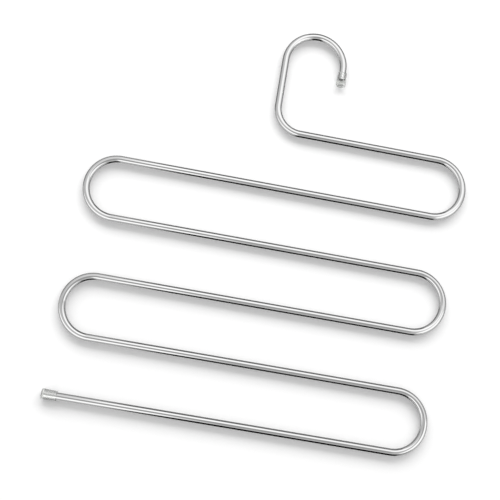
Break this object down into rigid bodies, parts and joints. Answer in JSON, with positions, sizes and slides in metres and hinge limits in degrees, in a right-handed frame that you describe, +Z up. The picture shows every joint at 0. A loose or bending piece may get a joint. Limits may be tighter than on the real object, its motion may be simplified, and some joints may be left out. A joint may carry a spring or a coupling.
{
  "type": "multi tier trouser hanger",
  "caption": "Flat hanger bent from one long steel tube into a hook and a ladder of level bars for trousers, with a clear soft cap on each end.",
  "frame": {"origin": "highest point of the hook's inner side, where the hook sits on a rail", "axes": "+Z up as the hanger hangs, +X along the bars from the neck towards the hook's tip, +Y out of the flat hanger's back"},
  "size_m": [0.3605, 0.0098, 0.3899],
  "materials": {
    "steel_tube": "polished stainless steel tube, bright mirror with faint drawing lines",
    "clear_cap": "clear soft vinyl, glossy"
  },
  "bodies": {
    "root": {"bent_tube": "steel_tube", "hook_tip_cap": "clear_cap", "bar_end_cap": "clear_cap"}
  },
  "joints": []
}
